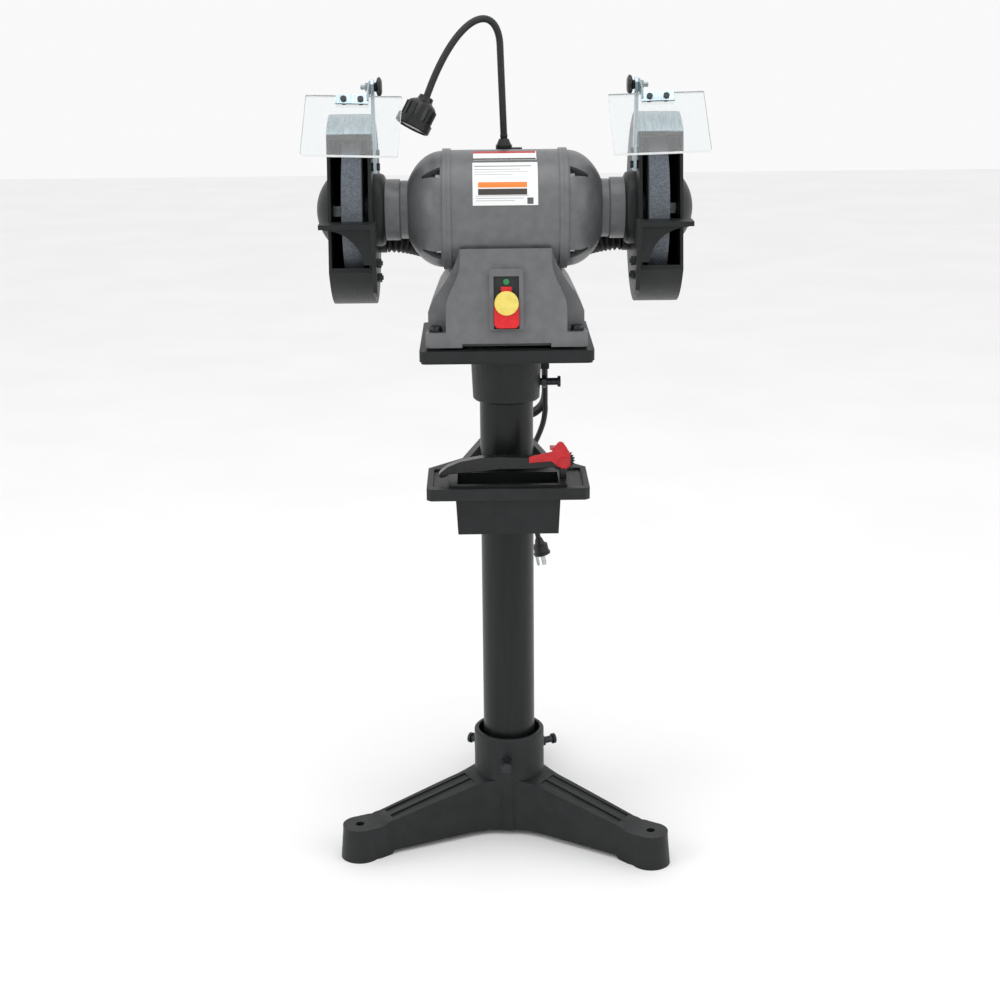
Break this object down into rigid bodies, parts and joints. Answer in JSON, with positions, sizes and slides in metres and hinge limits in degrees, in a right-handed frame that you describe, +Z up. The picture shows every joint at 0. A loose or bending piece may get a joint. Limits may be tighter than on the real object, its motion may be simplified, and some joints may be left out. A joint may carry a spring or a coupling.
{
  "type": "bench grinder",
  "caption": "Double-ended bench grinder with eye shields, tool rests, dust hoses and a gooseneck lamp, bolted on a cast tripod pedestal with a tool tray and water pot.",
  "frame": {"origin": "on the floor at the centre of the circle of the three foot bolts, which is the column axis", "axes": "+Z up along the column, +X along the wheel spindle to the right wheel, -Y to the operator"},
  "size_m": [0.504, 0.4324, 1.1403],
  "materials": {
    "cast_black": "semi-gloss black enamel on castings",
    "tube_black": "semi-gloss black enamel on steel tube",
    "cast_grey": "grey hammered enamel on cast iron",
    "dark_bolt": "black oxide",
    "zinc_bolt": "zinc plated",
    "zinc_sheet": "zinc plated sheet",
    "rubber": "matt",
    "cover_steel": "plain",
    "switch_black": "moulded",
    "cap_black": "moulded",
    "winding": "enamelled copper wire and steel laminations",
    "bearing_steel": "ground",
    "plate_white": "printed foil plate",
    "lamp_black": "moulded, ribbed",
    "neck_black": "vinyl sleeve on a flexible steel neck",
    "lens": "clear",
    "shaft_steel": "turned",
    "core_steel": "laminated",
    "abrasive": "grey aluminium oxide grit",
    "acrylic": "clear sheet",
    "knob_black": "moulded",
    "button_green": "moulded",
    "paddle_red": "moulded",
    "disc_yellow": "moulded",
    "hood_red": "red enamel",
    "cord_black": "vinyl cord"
  },
  "bodies": {
    "stand": {"stand_base": "cast_black", "column": "tube_black", "platform": "cast_black", "stand_bolts": "dark_bolt", "mount_bolts": "zinc_bolt", "tool_tray": "cast_black", "grinder_base": "cast_grey", "rubber_feet": "rubber", "base_cover": "cover_steel", "switch_plate": "switch_black", "switch_body": "switch_black", "capacitor": "cap_black", "motor_housing": "cast_grey", "stator": "winding", "end_bell_left": "cast_grey", "end_bell_right": "cast_grey", "housing_screws": "zinc_bolt", "bearings": "bearing_steel", "guard_left": "cast_black", "guard_right": "cast_black", "guard_cover_left": "cast_black", "guard_cover_right": "cast_black", "guard_bolts": "zinc_bolt", "shield_arms": "zinc_sheet", "dust_hoses": "rubber", "dust_manifold": "lamp_black", "lamp_base": "lamp_black", "data_plates": "plate_white", "cord_gland": "rubber", "power_cord": "cord_black", "cord_hank": "cord_black", "cord_tie": "cord_black", "cord_plug": "cord_black"},
    "rotor": {"shaft": "shaft_steel", "rotor_core": "core_steel", "wheel_left": "abrasive", "wheel_right": "abrasive", "wheel_flanges": "dark_bolt", "arbor_nuts": "zinc_bolt"},
    "shield_left": {"eye_shield_left": "acrylic", "shield_bracket_left": "zinc_sheet"},
    "shield_right": {"eye_shield_right": "acrylic", "shield_bracket_right": "zinc_sheet"},
    "knob_left": {"shield_knob_left": "knob_black"},
    "knob_right": {"shield_knob_right": "knob_black"},
    "arrester_left": {"spark_arrester_left": "zinc_sheet"},
    "arrester_right": {"spark_arrester_right": "zinc_sheet"},
    "rest_left": {"tool_rest_left": "cast_black"},
    "rest_right": {"tool_rest_right": "cast_black"},
    "start": {"start_button": "button_green"},
    "stop": {"stop_paddle": "paddle_red", "stop_disc": "disc_yellow"},
    "neck_lower": {"gooseneck_lower": "neck_black"},
    "neck_upper": {"gooseneck_upper": "neck_black"},
    "lamp": {"lamp_head": "lamp_black", "lamp_lens": "lens"},
    "pot": {"water_pot": "cast_black"},
    "dresser": {"dresser_handle": "cast_black", "dresser_hood": "hood_red"},
    "cutters": {"dresser_cutters": "zinc_bolt"}
  },
  "joints": [
    {"name": "spindle_spin", "type": "hinge", "parent": "stand", "child": "rotor", "pos_m": [0, 0, 0.893], "axis": [1, 0, 0], "continuous": true},
    {"name": "shield_tilt_left", "type": "hinge", "parent": "stand", "child": "shield_left", "pos_m": [-0.17, -0.07, 1.0555], "axis": [1, 0, 0], "range_deg": [-70, 15]},
    {"name": "shield_knob_left", "type": "hinge", "parent": "stand", "child": "knob_left", "pos_m": [-0.16, -0.07, 1.0555], "axis": [1, 0, 0], "continuous": true},
    {"name": "arrester_slide_left", "type": "hinge", "parent": "stand", "child": "arrester_left", "pos_m": [-0.19, 0, 0.893], "axis": [1, 0, 0], "range_deg": [0, 8]},
    {"name": "rest_slide_left", "type": "slide", "parent": "stand", "child": "rest_left", "axis": [0, -1, 0], "range_m": [0, 0.012]},
    {"name": "shield_tilt_right", "type": "hinge", "parent": "stand", "child": "shield_right", "pos_m": [0.17, -0.07, 1.0555], "axis": [1, 0, 0], "range_deg": [-70, 15]},
    {"name": "shield_knob_right", "type": "hinge", "parent": "stand", "child": "knob_right", "pos_m": [0.16, -0.07, 1.0555], "axis": [1, 0, 0], "continuous": true},
    {"name": "arrester_slide_right", "type": "hinge", "parent": "stand", "child": "arrester_right", "pos_m": [0.19, 0, 0.893], "axis": [1, 0, 0], "range_deg": [0, 8]},
    {"name": "rest_slide_right", "type": "slide", "parent": "stand", "child": "rest_right", "axis": [0, -1, 0], "range_m": [0, 0.012]},
    {"name": "start_press", "type": "slide", "parent": "stand", "child": "start", "axis": [0, 0.9806, -0.1961], "range_m": [0, 0.002], "stiffness_N_per_m": 400, "springref_m": -0.0005},
    {"name": "stop_press", "type": "hinge", "parent": "stand", "child": "stop", "pos_m": [0, -0.08603, 0.80042], "axis": [1, 0, 0], "range_deg": [0, 4], "stiffness_Nm_per_rad": 0.6, "springref_deg": -2.86},
    {"name": "lamp_lower_bend", "type": "hinge", "parent": "stand", "child": "neck_lower", "pos_m": [0, 0.035, 0.985], "axis": [0, 1, 0], "range_deg": [-10, 25]},
    {"name": "lamp_crown_bend", "type": "hinge", "parent": "neck_lower", "child": "neck_upper", "pos_m": [-0.00391, 0.033, 1.09693], "axis": [0.389, -0.9212, 0], "range_deg": [-35, 6]},
    {"name": "lamp_head_bend", "type": "hinge", "parent": "neck_upper", "child": "lamp", "pos_m": [-0.101, -0.008, 1.037], "axis": [0.389, -0.9212, 0], "range_deg": [-25, 25]},
    {"name": "pot_lift", "type": "slide", "parent": "stand", "child": "pot", "axis": [0, 0, 1], "range_m": [0, 0.068]},
    {"name": "dresser_lift", "type": "slide", "parent": "pot", "child": "dresser", "axis": [0, 0, 1], "range_m": [0, 0.03]},
    {"name": "cutter_spin", "type": "hinge", "parent": "dresser", "child": "cutters", "pos_m": [0.0745, -0.075, 0.5662], "axis": [0, 1, 0], "continuous": true}
  ]
}
